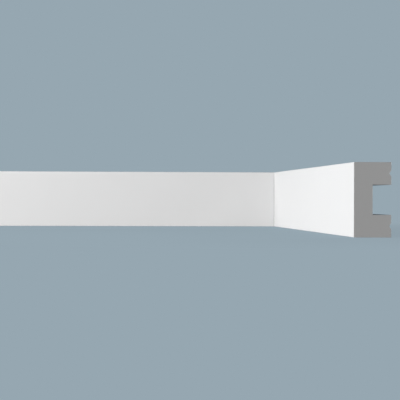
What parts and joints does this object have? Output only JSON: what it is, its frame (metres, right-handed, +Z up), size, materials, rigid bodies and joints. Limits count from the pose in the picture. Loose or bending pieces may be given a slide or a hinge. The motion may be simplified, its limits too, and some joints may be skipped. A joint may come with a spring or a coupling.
{
  "type": "panel moulding",
  "caption": "Square-edged white panel moulding turning a mitred inside corner, with a cable channel and adhesive grooves down its back.",
  "frame": {"origin": "middle of the footprint, at the height of the moulding's lower edges, which stand on the floor", "axes": "+X along the long run towards the corner, -Y along the return towards its cut end, +Z up the moulding's width; the backs that go on the walls face +Y and +X"},
  "size_m": [2, 0.4, 0.04],
  "materials": {
    "primed_polymer": "white primer, matt and smooth; raw grey polymer where it is sawn and inside the channel"
  },
  "bodies": {
    "root": {"long_run": "primed_polymer", "return_run": "primed_polymer"}
  },
  "joints": []
}
